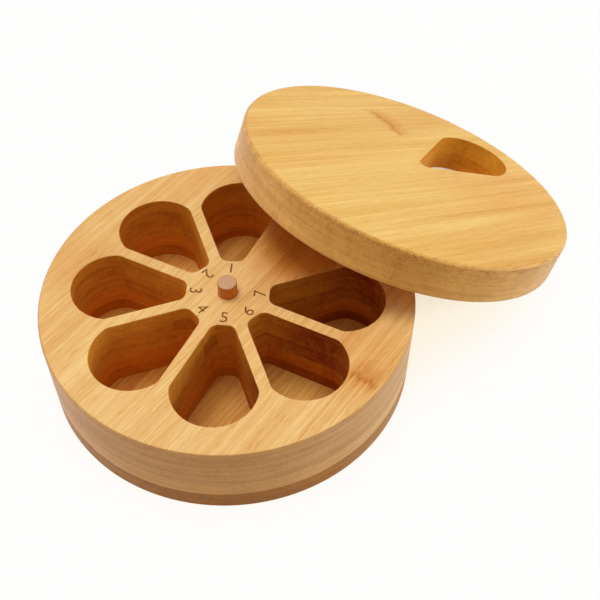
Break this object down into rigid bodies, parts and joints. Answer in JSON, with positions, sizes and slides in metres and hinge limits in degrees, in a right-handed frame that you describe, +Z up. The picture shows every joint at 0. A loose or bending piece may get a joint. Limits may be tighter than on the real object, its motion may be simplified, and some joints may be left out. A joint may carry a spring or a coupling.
{
  "type": "travel pill organizer",
  "caption": "Round laminated-bamboo pill box: a base with routed sector pockets, an upright pivot dowel and a turning lid with a window, lifted off and leaning on the rim.",
  "frame": {"origin": "centre of the base's underside, on the table and on the pivot dowel's axis", "axes": "+Z up along the dowel; +X and +Y through the middle of two pockets; the blank sector lies between +X and +Y, under the leaning lid"},
  "size_m": [0.1677, 0.166, 0.0574],
  "materials": {
    "base_bottom_bamboo": "satin oiled bamboo, darker carbonised board",
    "base_middle_bamboo": "satin oiled bamboo, pale edge",
    "base_top_bamboo": "satin oiled bamboo",
    "dowel_wood": "plain sanded wood",
    "lid_bottom_bamboo": "satin oiled bamboo",
    "lid_top_bamboo": "satin oiled bamboo"
  },
  "bodies": {
    "base": {"base_bottom_board": "base_bottom_bamboo", "base_middle_board": "base_middle_bamboo", "base_top_board": "base_top_bamboo"},
    "dowel": {"pivot_dowel": "dowel_wood"},
    "lid": {"lid_bottom_board": "lid_bottom_bamboo", "lid_top_board": "lid_top_bamboo"}
  },
  "joints": [
    {"name": "lid_turn", "type": "hinge", "parent": "base", "child": "dowel", "pos_m": [0, 0, 0.0286], "axis": [0, 0, 1], "continuous": true},
    {"name": "lid_swing", "type": "hinge", "parent": "dowel", "child": "lid", "pos_m": [0.03571, 0.01443, 0.0291], "axis": [0.2046, 0.0827, 0.9753], "range_deg": [0, 136.99]}
  ]
}
